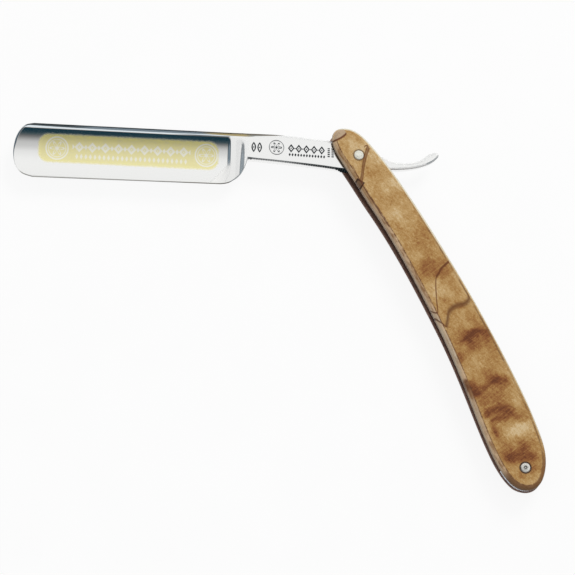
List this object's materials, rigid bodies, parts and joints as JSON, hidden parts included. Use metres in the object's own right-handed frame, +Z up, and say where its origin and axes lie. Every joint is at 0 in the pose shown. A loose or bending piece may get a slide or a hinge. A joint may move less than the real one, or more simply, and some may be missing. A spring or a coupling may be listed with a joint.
{
  "type": "straight razor",
  "caption": "Folding straight razor with a hollow-ground steel blade that pivots between two wooden scales, a curved tail and a spacer wedge at the far end.",
  "frame": {"origin": "middle of the rear scale's flat outer face, which is the face the razor rests on", "axes": "+Z up, from the resting face towards the front face, along the pivot pin; -X along the blade from the pivot to its point; +Y from the cutting edge towards the spine"},
  "size_m": [0.1885, 0.1281, 0.0123],
  "materials": {
    "blade_steel": "mirror-polished hollow-ground stainless steel, with a pale gilt wash on the front face",
    "scale_wood": "satin-oiled olive wood with dark figure",
    "wedge_aluminium": "satin",
    "pin_metal": "peened and polished nickel silver",
    "pivot_collar_metal": "polished nickel silver",
    "wedge_collar_metal": "polished nickel silver",
    "washer_brass": "plain"
  },
  "bodies": {
    "handle": {"front_scale": "scale_wood", "rear_scale": "scale_wood", "wedge": "wedge_aluminium", "pivot_pin": "pin_metal", "front_pivot_collar": "pivot_collar_metal", "rear_pivot_collar": "pivot_collar_metal", "front_pivot_washer": "washer_brass", "rear_pivot_washer": "washer_brass", "wedge_pin": "pin_metal", "front_wedge_collar": "wedge_collar_metal", "rear_wedge_collar": "wedge_collar_metal"},
    "blade": {"blade": "blade_steel"}
  },
  "joints": [
    {"name": "blade_pivot", "type": "hinge", "parent": "handle", "child": "blade", "pos_m": [-0.03378, 0.05303, 0.00483], "axis": [0, 0, 1], "range_deg": [-200, 115]}
  ]
}
